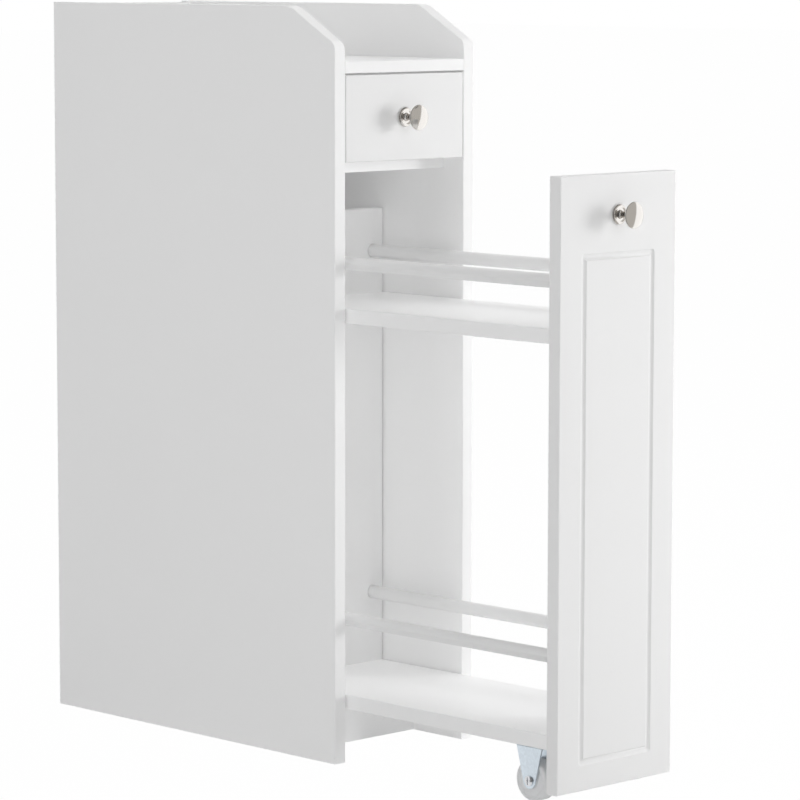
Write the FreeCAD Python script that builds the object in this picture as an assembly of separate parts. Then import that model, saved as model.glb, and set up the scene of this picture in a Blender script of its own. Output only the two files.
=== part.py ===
"""Narrow rolling cabinet: a slim board carcass with a top tray, a small drawer and a pull-out
trolley on four fixed casters, modelled with the trolley pulled out and the drawer shut.

Units are millimetres. +Z is up, -Y is the front and X = 0 is the plane of symmetry. The origin is
on the floor, at the middle of the whole object from the door knob's tip to the cabinet's rear.
"""
import FreeCAD, Part
import math
import os

V = FreeCAD.Vector
ALONG_X = V(1, 0, 0)
ALONG_Y = V(0, 1, 0)
ALONG_Z = V(0, 0, 1)
SAME_PLACE = 0.001
FULL_TURN = 360

# Carcass
cabinet_width = 200.0
cabinet_depth = 450.0
cabinet_height = 780.0
panel_thickness = 15.0
panel_edge_round = 1.2
slope_depth = 67.5
slope_drop = 38.2
slope_top_round = 30.0
slope_front_round = 12.0
tray_wall_height = 56.0
tray_board_thickness = 12.0
divider_thickness = 12.0
divider_recess = 29.0
back_panel_thickness = 5.0
back_panel_inset = 8.0
back_panel_groove_depth = 6.0
back_panel_groove_fit = 0.1
toe_board_thickness = 15.0
toe_board_top_gap = 4.0
toe_board_gap = 11.5
board_edge_round = 0.8

# Drawer
drawer_top_gap = 2.0
drawer_side_gap = 1.0
drawer_front_height = 88.7
drawer_front_thickness = 15.0
drawer_box_side_gap = 2.0
drawer_box_height = 75.0
drawer_rear_gap = 22.0
drawer_box_thickness = 12.0
drawer_run_clearance = 0.3
drawer_bottom_thickness = 3.0
drawer_bottom_height = 8.0
drawer_bottom_groove = 5.0

# Pull-out trolley
trolley_side_gap = 2.0
trolley_rear_gap = 2.0
trolley_stop_gap = 0.5
door_thickness = 15.0
door_floor_gap = 12.0
door_drawer_gap = 1.3
door_edge_round = 1.2
shelf_thickness = 15.0
rear_board_thickness = 15.0
middle_shelf_drop = 148.0
rear_board_above_rail = 45.0
rail_diameter = 14.0
rail_wall = 1.2
rail_hole_diameter = 15.0
rail_hole_depth = 8.0
rail_inset = 14.5
middle_rail_height = 45.0
bottom_rail_height = 76.0

# Routed line on the door
line_side_margin = 34.0
line_top_margin = 80.0
line_bottom_margin = 29.0
line_width = 7.0
line_floor_width = 1.2
line_depth = 2.6

# Knobs
knob_drop = 40.0
knob_cap_diameter = 26.4
knob_cap_back = 19.2
knob_cap_rim = 21.2
knob_length = 25.0
knob_cap_rim_round = 1.0
knob_foot_diameter = 9.0
knob_waist_diameter = 6.6
knob_waist_place = 6.6
knob_flare_diameter = 15.0
knob_flare_place = 17.0
rosette_diameter = 20.2
rosette_thickness = 2.4
rosette_rim_height = 1.2
rosette_dish_diameter = 14.0
rosette_dish_depth = 0.7
knob_screw_diameter = 4.0
knob_screw_hole_diameter = 4.4
knob_screw_engagement = 8.0
knob_screw_head_diameter = 8.0
knob_screw_head_height = 2.4
thread_fit = 0.03

# Casters
caster_height = 56.0
caster_axle_inset = 25.5
caster_edge_inset = 2.5
wheel_diameter = 42.0
wheel_width = 18.0
wheel_edge_round = 2.5
wheel_hub_diameter = 14.0
wheel_dish_diameter = 32.0
wheel_dish_depth = 0.8
wheel_hub_side_clearance = 0.3
wheel_bore_clearance = 0.06
bracket_thickness = 1.5
bracket_bend_radius = 2.0
bracket_inner_width = 20.0
bracket_top_length = 35.0
bracket_end_radius = 8.0
bracket_hole_clearance = 0.05
axle_diameter = 6.0
axle_head_diameter = 10.6
axle_head_height = 2.5
axle_tip_length = 2.0
axle_nut_across_flats = 10.0
axle_nut_height = 4.5
axle_slot_width = 1.3
axle_slot_depth = 1.0
caster_screw_spacing = 20.0
caster_screw_diameter = 3.5
caster_screw_length = 12.0
caster_screw_head_diameter = 6.6
caster_screw_head_height = 1.8

# Hidden fittings
dowel_diameter = 6.0
dowel_in_panel = 10.0
dowel_in_board = 20.0
cam_diameter = 12.0
cam_setback = 24.0
cam_past_middle = 3.5
cam_slot_width = 1.4
cam_slot_depth = 1.6
bolt_thread_diameter = 5.0
bolt_in_panel = 11.0
bolt_neck_diameter = 3.6
bolt_head_diameter = 5.6
bolt_head_length = 2.6
bolt_way_diameter = 6.2
fitting_fit = 0.05
carcass_fitting_inset = 60.0
trolley_fitting_spacing = 92.0
toe_bolt_height = 16.0
toe_dowel_height = 38.0
drawer_bolt_height = 28.0
drawer_dowel_height = 52.0
wood_screw_diameter = 4.0
wood_screw_length = 40.0
wood_screw_head_diameter = 7.6
wood_screw_head_height = 2.4
drawer_screw_height = 22.0
drawer_screw_spacing = 36.0
rear_board_screw_spacing = 96.0
back_screw_spacing = 100.0
back_screw_diameter = 3.0
back_screw_length = 16.0
back_screw_head_diameter = 6.0
back_screw_head_height = 1.5
cut_overrun = 2.0

# Widths, from the centre plane
half_width = cabinet_width / 2
bay_half = half_width - panel_thickness
trolley_half = bay_half - trolley_side_gap
drawer_front_half = bay_half - drawer_side_gap
drawer_box_half = bay_half - drawer_box_side_gap
rail_x = trolley_half - rail_inset

# Heights above the floor
tray_top = cabinet_height - tray_wall_height
tray_bottom = tray_top - tray_board_thickness
drawer_top = tray_bottom - drawer_top_gap
drawer_base = drawer_top - drawer_front_height
divider_top = drawer_base - drawer_run_clearance
divider_bottom = divider_top - divider_thickness
door_top = drawer_base - door_drawer_gap
toe_board_top = caster_height - toe_board_top_gap
bottom_shelf_top = caster_height + shelf_thickness
middle_shelf_top = door_top - middle_shelf_drop
middle_shelf_bottom = middle_shelf_top - shelf_thickness
middle_rail_z = middle_shelf_top + middle_rail_height
bottom_rail_z = bottom_shelf_top + bottom_rail_height
rear_board_top = middle_rail_z + rear_board_above_rail
wheel_radius = wheel_diameter / 2
door_knob_z = door_top - knob_drop
drawer_knob_z = drawer_base + drawer_front_height / 2

# Depths behind the cabinet's front plane, with the trolley shut
back_panel_face = cabinet_depth - back_panel_inset - back_panel_thickness
shut_rear_board_back = back_panel_face - trolley_rear_gap
shut_rear_wheel_front = shut_rear_board_back - caster_axle_inset - wheel_radius
toe_board_front = door_thickness + caster_axle_inset + wheel_radius + toe_board_gap
toe_board_back = toe_board_front + toe_board_thickness
trolley_travel = shut_rear_wheel_front - toe_board_back - trolley_stop_gap

# Places along Y
front_y = (trolley_travel + knob_length - cabinet_depth) / 2
rear_y = front_y + cabinet_depth
back_panel_y = front_y + back_panel_face
door_y = front_y - trolley_travel
door_back_y = door_y + door_thickness
rear_board_back_y = door_y + shut_rear_board_back
rear_board_y = rear_board_back_y - rear_board_thickness
drawer_back_y = front_y + drawer_front_thickness

# Names of the solids that make each node, filled by the functions below
nodes = {}


def box(x, y, z):
    """A box between two numbers on each axis."""
    return Part.makeBox(x[1] - x[0], y[1] - y[0], z[1] - z[0], V(x[0], y[0], z[0]))


def rod(diameter, start, direction, length):
    """A round bar from a point along a unit direction."""
    return Part.makeCylinder(diameter / 2, length, start, direction)


def rounded(solid, radius, keep):
    """The solid with the edges that keep() chooses rounded."""
    chosen = [edge for edge in solid.Edges if keep(edge)]
    return solid.makeFillet(radius, chosen)


def on_plane(edge, axis, value):
    """Whether an edge lies wholly in the plane where one coordinate has one value."""
    low = getattr(edge.BoundBox, axis + "Min")
    high = getattr(edge.BoundBox, axis + "Max")
    return math.isclose(low, value, abs_tol=SAME_PLACE) and math.isclose(high, value, abs_tol=SAME_PLACE)


def cut_all(solid, tools):
    """The solid with every tool cut out of it."""
    if not tools:
        return solid
    return solid.cut(tools).removeSplitter()


def revolved(points, centre, direction):
    """A turned solid: (radius, distance) points, spun about a line from centre along direction."""
    outline = [V(radius, 0, distance) for radius, distance in points]
    face = Part.Face(Part.makePolygon(outline + [outline[0]]))
    solid = face.revolve(V(0, 0, 0), ALONG_Z, FULL_TURN)
    return placed(solid, centre, direction)


def placed(solid, centre, direction):
    """The solid moved from the origin to centre, with its +Z turned to direction."""
    copy = solid.copy()
    copy.Placement = FreeCAD.Placement(centre, FreeCAD.Rotation(ALONG_Z, direction))
    return copy


def arc_through(start, middle, end):
    return Part.Arc(start, middle, end).toShape()


def line_between(start, end):
    return Part.LineSegment(start, end).toShape()


class Fittings:
    """The hidden fittings of one body, and the cuts that they need in its boards."""

    def __init__(self):
        self.dowels = []
        self.bolts = []
        self.cams = []
        self.panel_cuts = []
        self.board_cuts = []

    def add_dowel(self, point, inward):
        """A glued dowel across a joint, from the panel into the end of the board."""
        start = point - inward * dowel_in_panel
        length = dowel_in_panel + dowel_in_board
        self.dowels.append(rod(dowel_diameter, start, inward, length))
        hole = dowel_diameter + 2 * fitting_fit
        self.panel_cuts.append(rod(hole, point, inward * -1, dowel_in_panel))
        self.board_cuts.append(rod(hole, point, inward, dowel_in_board))

    def add_cam(self, point, inward, outward, half_board):
        """A cam bolt in the panel and the cam disc that locks it, let in from the outward face."""
        centre = point + inward * cam_setback
        head_start = centre - inward * bolt_head_length / 2
        thread = rod(bolt_thread_diameter, point - inward * bolt_in_panel, inward, bolt_in_panel)
        neck = rod(bolt_neck_diameter, point, inward, cam_setback)
        head = rod(bolt_head_diameter, head_start, inward, bolt_head_length)
        self.bolts.append(thread.fuse([neck, head]).removeSplitter())
        face = centre + outward * half_board
        depth = half_board + cam_past_middle
        disc = rod(cam_diameter, face, outward * -1, depth)
        way = rod(bolt_way_diameter, point, inward, cam_setback + bolt_way_diameter / 2)
        across = inward.cross(outward)
        slots = []
        for along, side in ((inward, across), (across, inward)):
            slots.append(self.slot(face, along, side, outward))
        self.cams.append(cut_all(disc, [way] + slots))
        self.panel_cuts.append(
            rod(bolt_thread_diameter + 2 * fitting_fit, point, inward * -1, bolt_in_panel))
        self.board_cuts.append(way)
        self.board_cuts.append(rod(cam_diameter + 2 * fitting_fit, face, outward * -1, depth))

    def slot(self, face, along, side, outward):
        """One bar of the cross slot in a cam's face."""
        length = cam_diameter / 2
        corner = face - along * (length / 2) - side * (cam_slot_width / 2)
        points = [
            corner,
            corner + along * length,
            corner + along * length + side * cam_slot_width,
            corner + side * cam_slot_width,
            corner,
        ]
        return Part.Face(Part.makePolygon(points)).extrude(outward * -cam_slot_depth)

    def save(self, prefix):
        nodes[prefix + "_dowels"] = self.dowels
        nodes[prefix + "_cam_bolts"] = self.bolts
        nodes[prefix + "_cams"] = self.cams


def wood_screw(diameter, length, head_diameter, head_height, face, inward):
    """A screw whose flat-topped head stands on the face, with its body driven inward."""
    head = rod(head_diameter, face, inward * -1, head_height)
    body = rod(diameter, face, inward, length)
    return head.fuse(body).removeSplitter()


def sunk_screw(face, inward):
    """A countersunk wood screw flush with the face."""
    tip = wood_screw_diameter / 2
    head = Part.makeCone(wood_screw_head_diameter / 2, tip, wood_screw_head_height, face, inward)
    body = rod(wood_screw_diameter, face, inward, wood_screw_length)
    return head.fuse(body).removeSplitter()


def side_panel(side):
    """One side of the carcass, with its sloped shoulder and the groove for the back panel."""
    inner = side * bay_half
    slope_rear_y = front_y + slope_depth
    shoulder_z = cabinet_height - slope_drop
    outline = [
        V(inner, front_y, 0),
        V(inner, rear_y, 0),
        V(inner, rear_y, cabinet_height),
        V(inner, slope_rear_y, cabinet_height),
        V(inner, front_y, shoulder_z),
        V(inner, front_y, 0),
    ]
    panel = Part.Face(Part.makePolygon(outline)).extrude(V(side * panel_thickness, 0, 0))
    for place, radius in (
        ((slope_rear_y, cabinet_height), slope_top_round),
        ((front_y, shoulder_z), slope_front_round),
    ):
        panel = rounded(
            panel, radius, lambda edge: on_plane(edge, "Y", place[0]) and on_plane(edge, "Z", place[1]))
    outer = side * half_width
    panel = rounded(
        panel,
        panel_edge_round,
        lambda edge: (on_plane(edge, "X", inner) or on_plane(edge, "X", outer))
        and not on_plane(edge, "Z", 0),
    )
    groove_x = sorted((inner - side * cut_overrun, inner + side * back_panel_groove_depth))
    groove_y = (
        back_panel_y - back_panel_groove_fit,
        back_panel_y + back_panel_thickness + back_panel_groove_fit,
    )
    groove = box(groove_x, groove_y, (-cut_overrun, cabinet_height + cut_overrun))
    return panel.cut(groove)


def across_board(half, y, z, round_edges):
    """A board between the side panels, with its front edges eased."""
    board = box((-half, half), y, z)
    return rounded(board, round_edges, lambda edge: on_plane(edge, "Y", y[0]) and not along_z(edge))


def along_z(edge):
    return edge.BoundBox.ZLength > edge.BoundBox.XLength


def along_x(edge):
    return edge.BoundBox.XLength > edge.BoundBox.YLength


def carcass():
    """The fixed cabinet: panels, boards and their fittings."""
    fittings = Fittings()
    back_screws = []
    tray_middle = (tray_top + tray_bottom) / 2
    divider_middle = (divider_top + divider_bottom) / 2
    divider_y = front_y + divider_recess
    toe_y = front_y + toe_board_front
    toe_middle_y = toe_y + toe_board_thickness / 2
    for side in (-1, 1):
        inward = ALONG_X * -side
        for start_y, middle_z, thickness in (
            (front_y, tray_middle, tray_board_thickness),
            (divider_y, divider_middle, divider_thickness),
        ):
            near = V(side * bay_half, start_y + carcass_fitting_inset, middle_z)
            far = V(side * bay_half, back_panel_y - carcass_fitting_inset, middle_z)
            fittings.add_cam(near, inward, ALONG_Z * -1, thickness / 2)
            fittings.add_cam(far, inward, ALONG_Z * -1, thickness / 2)
            fittings.add_dowel((near + far) / 2, inward)
        fittings.add_cam(
            V(side * bay_half, toe_middle_y, toe_bolt_height), inward, ALONG_Y, toe_board_thickness / 2)
        fittings.add_dowel(V(side * bay_half, toe_middle_y, toe_dowel_height), inward)
        for middle_z in (tray_middle, divider_middle):
            face = V(side * back_screw_spacing / 2, back_panel_y + back_panel_thickness, middle_z)
            back_screws.append(wood_screw(
                back_screw_diameter, back_screw_length, back_screw_head_diameter,
                back_screw_head_height, face, ALONG_Y * -1))
    nodes["side_panel_left"] = [cut_all(side_panel(-1), fittings.panel_cuts)]
    nodes["side_panel_right"] = [cut_all(side_panel(1), fittings.panel_cuts)]
    boards = {
        "tray_board": across_board(
            bay_half, (front_y, back_panel_y), (tray_bottom, tray_top), board_edge_round),
        "divider_board": across_board(
            bay_half, (divider_y, back_panel_y), (divider_bottom, divider_top), board_edge_round),
        "toe_board": across_board(
            bay_half, (toe_y, toe_y + toe_board_thickness), (0, toe_board_top), board_edge_round),
    }
    for name, board in boards.items():
        nodes[name] = [cut_all(board, fittings.board_cuts + back_screws)]
    back_half = bay_half + back_panel_groove_depth - back_panel_groove_fit
    back_panel = box(
        (-back_half, back_half),
        (back_panel_y, back_panel_y + back_panel_thickness),
        (0, cabinet_height - panel_edge_round))
    nodes["back_panel"] = [cut_all(back_panel, back_screws)]
    nodes["back_panel_screws"] = back_screws
    fittings.save("carcass")


def door_line():
    """The cuts of the line on the door: the path of a tapered router bit round a rectangle."""
    half = trolley_half - line_side_margin
    low = door_floor_gap + line_bottom_margin
    high = door_top - line_top_margin
    corners = [V(-half, door_y, low), V(half, door_y, low), V(half, door_y, high), V(-half, door_y, high)]
    deep = ALONG_Y * line_depth
    cuts = []
    for start, end in zip(corners, corners[1:] + corners[:1]):
        side = (end - start).normalize().cross(ALONG_Y)
        profile = [
            start - side * (line_width / 2),
            start + side * (line_width / 2),
            start + side * (line_floor_width / 2) + deep,
            start - side * (line_floor_width / 2) + deep,
        ]
        cuts.append(Part.Face(Part.makePolygon(profile + [profile[0]])).extrude(end - start))
        cuts.append(Part.makeCone(line_width / 2, line_floor_width / 2, line_depth, start, ALONG_Y))
    return cuts


def door(fittings, rail_holes, screw_hole):
    """The trolley's front board, as tall as the bay below the drawer."""
    board = box((-trolley_half, trolley_half), (door_y, door_back_y), (door_floor_gap, door_top))
    board = rounded(
        board, door_edge_round, lambda edge: on_plane(edge, "Y", door_y) or on_plane(edge, "Y", door_back_y))
    return cut_all(board, door_line() + [screw_hole] + fittings.panel_cuts + rail_holes)


def rail(side, z):
    """One guard rail: a tube let into the door and the rear board."""
    start = V(side * rail_x, door_back_y - rail_hole_depth, z)
    length = rear_board_y - door_back_y + 2 * rail_hole_depth
    outer = rod(rail_diameter, start, ALONG_Y, length)
    return outer.cut(rod(rail_diameter - 2 * rail_wall, start, ALONG_Y, length))


def knob(name, x, face_y, z, board_thickness):
    """A mushroom knob on its rosette, held by one screw from behind, and the hole for that screw."""
    out = ALONG_Y * -1
    face = V(x, face_y, z)
    disc_edge = rosette_thickness - rosette_rim_height
    disc = revolved(
        [
            (knob_screw_hole_diameter / 2, 0),
            (rosette_diameter / 2, 0),
            (rosette_diameter / 2, rosette_rim_height),
            (rosette_diameter / 2 - disc_edge, rosette_thickness),
            (rosette_dish_diameter / 2, rosette_thickness),
            (knob_foot_diameter / 2, rosette_thickness - rosette_dish_depth),
            (knob_screw_hole_diameter / 2, rosette_thickness - rosette_dish_depth),
        ],
        face, out)
    nodes[name + "_rosette"] = [disc]
    nodes[name] = [knob_body(face, out)]
    back = face - out * board_thickness
    reach = board_thickness + rosette_thickness - rosette_dish_depth + knob_screw_engagement
    nodes[name + "_screw"] = [wood_screw(
        knob_screw_diameter, reach, knob_screw_head_diameter, knob_screw_head_height, back, out)]
    return rod(knob_screw_hole_diameter, back, out, board_thickness)


def knob_body(face, out):
    """The knob itself: foot, waist, flare and a shallow domed cap, turned in one piece."""
    foot = rosette_thickness - rosette_dish_depth
    bore = knob_screw_diameter / 2 + thread_fit
    cap = knob_cap_diameter / 2
    waist = V(knob_waist_diameter / 2, 0, knob_waist_place)
    flare = V(knob_flare_diameter / 2, 0, knob_flare_place)
    rim_back = V(cap - knob_cap_rim_round, 0, knob_cap_back)
    rim_front = V(cap - knob_cap_rim_round, 0, knob_cap_rim)
    rim_out = V(cap, 0, (knob_cap_back + knob_cap_rim) / 2)
    foot_edge = V(knob_foot_diameter / 2, 0, foot)
    dome_top = V(0, 0, knob_length)
    bore_end = foot + knob_screw_engagement
    neck = Part.BSplineCurve()
    neck.interpolate(Points=[foot_edge, waist, flare, rim_back])
    dome = circle_arc_to_axis(rim_front, dome_top)
    edges = [
        line_between(V(bore, 0, foot), foot_edge),
        neck.toShape(),
        arc_through(rim_back, rim_out, rim_front),
        dome,
        line_between(dome_top, V(0, 0, bore_end)),
        line_between(V(0, 0, bore_end), V(bore, 0, bore_end)),
        line_between(V(bore, 0, bore_end), V(bore, 0, foot)),
    ]
    solid = Part.Face(Part.Wire(edges)).revolve(V(0, 0, 0), ALONG_Z, FULL_TURN)
    return placed(solid, face, out)


def circle_arc_to_axis(start, top):
    """An arc in the XZ plane from start to a point on the axis, level there."""
    rise = top.z - start.z
    radius = (start.x ** 2 + rise ** 2) / (2 * rise)
    centre_z = top.z - radius
    half_angle = math.atan2(start.x, start.z - centre_z) / 2
    middle = V(radius * math.sin(half_angle), 0, centre_z + radius * math.cos(half_angle))
    return arc_through(start, middle, top)


def trolley():
    """The pull-out: door, rear board, two shelves, four guard rails and their fittings."""
    fittings = Fittings()
    for shelf_bottom in (middle_shelf_bottom, caster_height):
        middle_z = shelf_bottom + shelf_thickness / 2
        ends = [(door_back_y, ALONG_Y)]
        if shelf_bottom == middle_shelf_bottom:
            ends.append((rear_board_y, ALONG_Y * -1))
        for y, inward in ends:
            for side in (-1, 1):
                point = V(side * trolley_fitting_spacing / 2, y, middle_z)
                fittings.add_cam(point, inward, ALONG_Z * -1, shelf_thickness / 2)
            fittings.add_dowel(V(0, y, middle_z), inward)
    hole_length = rear_board_y - door_back_y + 2 * rail_hole_depth
    rail_holes = []
    for level, z in (("middle", middle_rail_z), ("bottom", bottom_rail_z)):
        for word, side in (("left", -1), ("right", 1)):
            nodes[level + "_rail_" + word] = [rail(side, z)]
            start = V(side * rail_x, door_back_y - rail_hole_depth, z)
            rail_holes.append(rod(rail_hole_diameter, start, ALONG_Y, hole_length))
    knob_hole = knob("door_knob", 0, door_y, door_knob_z, door_thickness)
    nodes["door_panel"] = [door(fittings, rail_holes, knob_hole)]
    screws = []
    rear_board_middle_y = rear_board_y + rear_board_thickness / 2
    for side in (-1, 1):
        place = V(side * rear_board_screw_spacing / 2, rear_board_middle_y, caster_height)
        screws.append(sunk_screw(place, ALONG_Z))
    caster_screws = casters()
    rear_board = box(
        (-trolley_half, trolley_half), (rear_board_y, rear_board_back_y), (bottom_shelf_top, rear_board_top))
    rear_board = rounded(
        rear_board, board_edge_round, lambda edge: not on_plane(edge, "Z", bottom_shelf_top))
    nodes["trolley_rear_board"] = [
        cut_all(rear_board, fittings.panel_cuts + rail_holes + screws)]
    shelf_ends = {
        "middle_shelf": (rear_board_y, middle_shelf_bottom),
        "bottom_shelf": (rear_board_back_y, caster_height),
    }
    for name, (end_y, low) in shelf_ends.items():
        shelf = box((-trolley_half, trolley_half), (door_back_y, end_y), (low, low + shelf_thickness))
        shelf = rounded(
            shelf,
            board_edge_round,
            lambda edge: on_plane(edge, "X", trolley_half) or on_plane(edge, "X", -trolley_half))
        nodes[name] = [cut_all(shelf, fittings.board_cuts + screws + caster_screws)]
    nodes["rear_board_screws"] = screws
    fittings.save("trolley")


def caster_bracket(axle):
    """A pressed U bracket: a plate under the shelf and two tapering arms that hold the axle."""
    half_inner = bracket_inner_width / 2
    half_outer = half_inner + bracket_thickness
    half_top = bracket_top_length / 2
    bracket = box(
        (axle.x - half_outer, axle.x + half_outer),
        (axle.y - half_top, axle.y + half_top),
        (caster_height - bracket_thickness, caster_height))
    run = caster_height - axle.z
    reach = math.hypot(half_top, run)
    lean = math.atan2(half_top, run) + math.acos(bracket_end_radius / reach)
    touch_y = bracket_end_radius * math.sin(lean)
    touch_z = bracket_end_radius * math.cos(lean)
    for x in (axle.x - half_outer, axle.x + half_inner):
        corners = [
            V(x, axle.y - half_top, caster_height),
            V(x, axle.y - touch_y, axle.z + touch_z),
            V(x, axle.y, axle.z - bracket_end_radius),
            V(x, axle.y + touch_y, axle.z + touch_z),
            V(x, axle.y + half_top, caster_height),
        ]
        edges = [
            line_between(corners[0], corners[1]),
            arc_through(corners[1], corners[2], corners[3]),
            line_between(corners[3], corners[4]),
            line_between(corners[4], corners[0]),
        ]
        bracket = bracket.fuse(Part.Face(Part.Wire(edges)).extrude(V(bracket_thickness, 0, 0)))
    bracket = rounded(
        bracket.removeSplitter(),
        bracket_bend_radius,
        lambda edge: on_plane(edge, "Z", caster_height) and not along_x(edge))
    hole = axle_diameter + 2 * bracket_hole_clearance
    through = rod(hole, axle - ALONG_X * half_outer, ALONG_X, 2 * half_outer)
    return bracket.cut(through)


def caster_wheel(axle):
    """A one-piece wheel with a dished face and a hub that fills the bracket."""
    bore = axle_diameter / 2 + wheel_bore_clearance
    hub = wheel_hub_diameter / 2
    hub_side = bracket_inner_width / 2 - wheel_hub_side_clearance
    rim_side = wheel_width / 2
    dish_side = rim_side - wheel_dish_depth
    dish = wheel_dish_diameter / 2
    tread = wheel_radius
    lip = wheel_edge_round
    half = [(bore, hub_side), (hub, hub_side), (hub, dish_side), (dish, dish_side), (dish, rim_side)]
    right = [V(radius, 0, place) for radius, place in half]
    left = [V(radius, 0, -place) for radius, place in half]
    bend = lip * (1 - math.cos(math.pi / 4))
    edges = [line_between(a, b) for a, b in zip(right, right[1:])]
    edges.append(line_between(right[-1], V(tread - lip, 0, rim_side)))
    edges.append(arc_through(
        V(tread - lip, 0, rim_side), V(tread - bend, 0, rim_side - bend), V(tread, 0, rim_side - lip)))
    edges.append(line_between(V(tread, 0, rim_side - lip), V(tread, 0, lip - rim_side)))
    edges.append(arc_through(
        V(tread, 0, lip - rim_side), V(tread - bend, 0, bend - rim_side), V(tread - lip, 0, -rim_side)))
    edges.append(line_between(V(tread - lip, 0, -rim_side), left[-1]))
    edges.extend(line_between(a, b) for a, b in zip(left[::-1], left[::-1][1:]))
    edges.append(line_between(left[0], right[0]))
    solid = Part.Face(Part.Wire(edges)).revolve(V(0, 0, 0), ALONG_Z, FULL_TURN)
    return placed(solid, axle, ALONG_X)


def axle_bolt(axle, side):
    """The bolt that the wheel turns on: a cross-slotted head on the outside, a nut on the inside."""
    outward = ALONG_X * side
    half_outer = bracket_inner_width / 2 + bracket_thickness
    face = axle + outward * half_outer
    head = rod(axle_head_diameter, face, outward, axle_head_height)
    head = rounded(head, axle_slot_depth, lambda edge: on_plane(edge, "X", face.x + side * axle_head_height))
    shank_length = 2 * half_outer + axle_nut_height + axle_tip_length
    bolt = head.fuse(rod(axle_diameter, face, outward * -1, shank_length)).removeSplitter()
    top_x = face.x + side * axle_head_height
    slot_x = sorted((top_x - side * axle_slot_depth, top_x + side * cut_overrun))
    arm = axle_head_diameter / 4
    thin = axle_slot_width / 2
    slots = [
        box(slot_x, (axle.y - arm, axle.y + arm), (axle.z - thin, axle.z + thin)),
        box(slot_x, (axle.y - thin, axle.y + thin), (axle.z - arm, axle.z + arm)),
    ]
    nut_radius = axle_nut_across_flats / math.sqrt(3)
    nut_face = axle - outward * half_outer
    turns = [math.pi / 3 * step for step in range(7)]
    rim = [nut_face + V(0, nut_radius * math.cos(a), nut_radius * math.sin(a)) for a in turns]
    nut = Part.Face(Part.makePolygon(rim)).extrude(outward * -axle_nut_height)
    bore = rod(axle_diameter + 2 * fitting_fit, nut_face, outward * -1, axle_nut_height)
    return cut_all(bolt, slots), nut.cut(bore)


def casters():
    """Four fixed casters under the bottom shelf. Returns the screws, which the shelf is cut for."""
    half_outer = bracket_inner_width / 2 + bracket_thickness
    axle_x = trolley_half - caster_edge_inset - half_outer
    bolts = []
    nuts = []
    screws = []
    for row, y in (
        ("front", door_back_y + caster_axle_inset),
        ("rear", rear_board_back_y - caster_axle_inset),
    ):
        for word, side in (("left", -1), ("right", 1)):
            axle = V(side * axle_x, y, wheel_radius)
            name = row + "_" + word
            held = []
            for way in (-1, 1):
                face = V(axle.x, y + way * caster_screw_spacing / 2, caster_height - bracket_thickness)
                held.append(wood_screw(
                    caster_screw_diameter, caster_screw_length, caster_screw_head_diameter,
                    caster_screw_head_height, face, ALONG_Z))
            nodes["caster_bracket_" + name] = [cut_all(caster_bracket(axle), held)]
            nodes["caster_wheel_" + name] = [caster_wheel(axle)]
            bolt, nut = axle_bolt(axle, side)
            bolts.append(bolt)
            nuts.append(nut)
            screws.extend(held)
    nodes["caster_axle_bolts"] = bolts
    nodes["caster_axle_nuts"] = nuts
    nodes["caster_screws"] = screws
    return screws


def drawer():
    """The drawer that slides on the divider: front, box, loose bottom and fittings."""
    fittings = Fittings()
    screws = []
    box_top = drawer_base + drawer_box_height
    box_end_y = back_panel_y - drawer_rear_gap
    inner_half = drawer_box_half - drawer_box_thickness
    back_y = box_end_y - drawer_box_thickness
    for side in (-1, 1):
        middle_x = side * (drawer_box_half - drawer_box_thickness / 2)
        bolt_point = V(middle_x, drawer_back_y, drawer_base + drawer_bolt_height)
        fittings.add_cam(bolt_point, ALONG_Y, ALONG_X * -side, drawer_box_thickness / 2)
        fittings.add_dowel(V(middle_x, drawer_back_y, drawer_base + drawer_dowel_height), ALONG_Y)
        for level in range(2):
            z = drawer_base + drawer_screw_height + level * drawer_screw_spacing
            face = V(side * drawer_box_half, back_y + drawer_box_thickness / 2, z)
            screws.append(sunk_screw(face, ALONG_X * -side))
    bottom_z = drawer_base + drawer_bottom_height
    bottom_half = inner_half + drawer_bottom_groove
    bottom_y = (drawer_back_y - drawer_bottom_groove, back_y + drawer_bottom_groove)
    bottom = box((-bottom_half, bottom_half), bottom_y, (bottom_z, bottom_z + drawer_bottom_thickness))
    knob_hole = knob("drawer_knob", 0, front_y, drawer_knob_z, drawer_front_thickness)
    front = box((-drawer_front_half, drawer_front_half), (front_y, drawer_back_y), (drawer_base, drawer_top))
    front = rounded(front, door_edge_round, lambda edge: on_plane(edge, "Y", front_y))
    nodes["drawer_front"] = [cut_all(front, fittings.panel_cuts + [knob_hole, bottom])]
    for word, side in (("left", -1), ("right", 1)):
        across = sorted((side * inner_half, side * drawer_box_half))
        wall = box(across, (drawer_back_y, box_end_y), (drawer_base, box_top))
        wall = rounded(wall, board_edge_round, lambda edge: on_plane(edge, "Z", box_top))
        nodes["drawer_side_" + word] = [cut_all(wall, fittings.board_cuts + screws + [bottom])]
    back = box((-inner_half, inner_half), (back_y, box_end_y), (drawer_base, box_top))
    nodes["drawer_back"] = [cut_all(back, screws + [bottom])]
    nodes["drawer_bottom"] = [bottom]
    nodes["drawer_screws"] = screws
    fittings.save("drawer")


def write_nodes():
    """One STEP file for each node."""
    os.makedirs("parts", exist_ok=True)
    for name, solids in nodes.items():
        shape = solids[0] if len(solids) == 1 else Part.makeCompound(solids)
        shape.exportStep("parts/" + name + ".step")
        print(name, len(shape.Solids), shape.isValid(), round(shape.Volume))


carcass()
trolley()
drawer()
write_nodes()
print("trolley travel", trolley_travel, "front plane", front_y, "door", door_y)
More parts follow.
